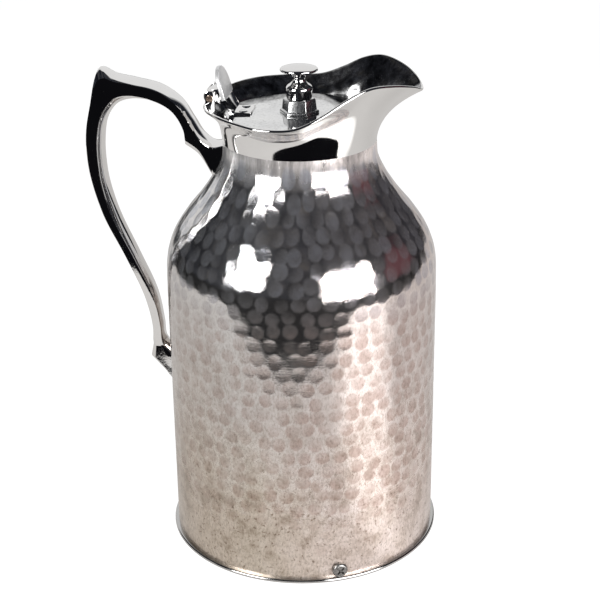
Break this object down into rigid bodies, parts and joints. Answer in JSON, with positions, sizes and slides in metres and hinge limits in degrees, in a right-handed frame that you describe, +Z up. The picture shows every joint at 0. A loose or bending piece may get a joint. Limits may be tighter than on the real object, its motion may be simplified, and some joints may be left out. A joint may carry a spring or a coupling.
{
  "type": "vacuum jug",
  "caption": "insulated jug with a hammered metal shell, a flared pouring collar, a scroll handle, and a thumb-lever lid that carries a screw-down stopper over a glass flask",
  "frame": {"origin": "centre of the base, on the plane the jug stands on", "axes": "+Z up, +X towards the spout, -X towards the handle, Y along the hinge pin"},
  "size_m": [0.1712, 0.136, 0.2394],
  "materials": {
    "brass": "bare turned brass",
    "chrome_cast": "polished plate over a casting",
    "chrome_sheet": "polished plate over pressed sheet",
    "cork": "natural cork",
    "glass": "thin blown glass, silvered between its walls",
    "plastic": "moulded black plastic",
    "rubber": "soft black rubber",
    "silver_plate": "hand hammered silver plate on brass sheet, worn and tarnished towards the base",
    "steel": "plain steel"
  },
  "bodies": {
    "jug": {"base_cap": "chrome_sheet", "base_nut_1": "steel", "base_nut_2": "steel", "base_nut_3": "steel", "base_screw_1": "steel", "base_screw_2": "steel", "base_screw_3": "steel", "body_shell": "silver_plate", "centering_ring": "cork", "collar": "chrome_cast", "flask_inner": "glass", "flask_outer": "glass", "flask_spacer_1": "cork", "flask_spacer_2": "cork", "flask_spacer_3": "cork", "flask_support": "rubber", "handle": "chrome_cast", "handle_screw_lower": "steel", "handle_screw_upper": "steel", "handle_washer_lower": "steel", "handle_washer_upper": "steel", "hinge_pin": "brass", "neck_gasket": "rubber"},
    "lid": {"lid_plate": "chrome_sheet", "thumb_lever": "chrome_cast", "lever_rivet_near": "chrome_sheet", "lever_rivet_far": "chrome_sheet", "gland_nut": "chrome_cast", "gland_bush": "brass", "lock_nut": "brass"},
    "stopper": {"stopper_core": "plastic", "stopper_seal": "rubber", "stopper_plate": "steel"},
    "spindle": {"spindle": "steel", "knob": "chrome_cast", "spindle_clip": "steel", "retaining_nut": "brass"}
  },
  "joints": [
    {"name": "lid_hinge", "type": "hinge", "parent": "jug", "child": "lid", "pos_m": [-0.041, 0, 0.225], "axis": [0, -1, 0], "range_deg": [0, 80]},
    {"name": "stopper_lift", "type": "slide", "parent": "lid", "child": "stopper", "axis": [0, 0, 1], "range_m": [0, 0.0016]},
    {"name": "knob_turn", "type": "hinge", "parent": "stopper", "child": "spindle", "pos_m": [0, 0, 0.225], "axis": [0, 0, 1], "range_deg": [0, 720]}
  ],
  "couplings": [
    {"joint": "knob_turn", "follows": "stopper_lift", "rad_per_m": 7853.9}
  ]
}
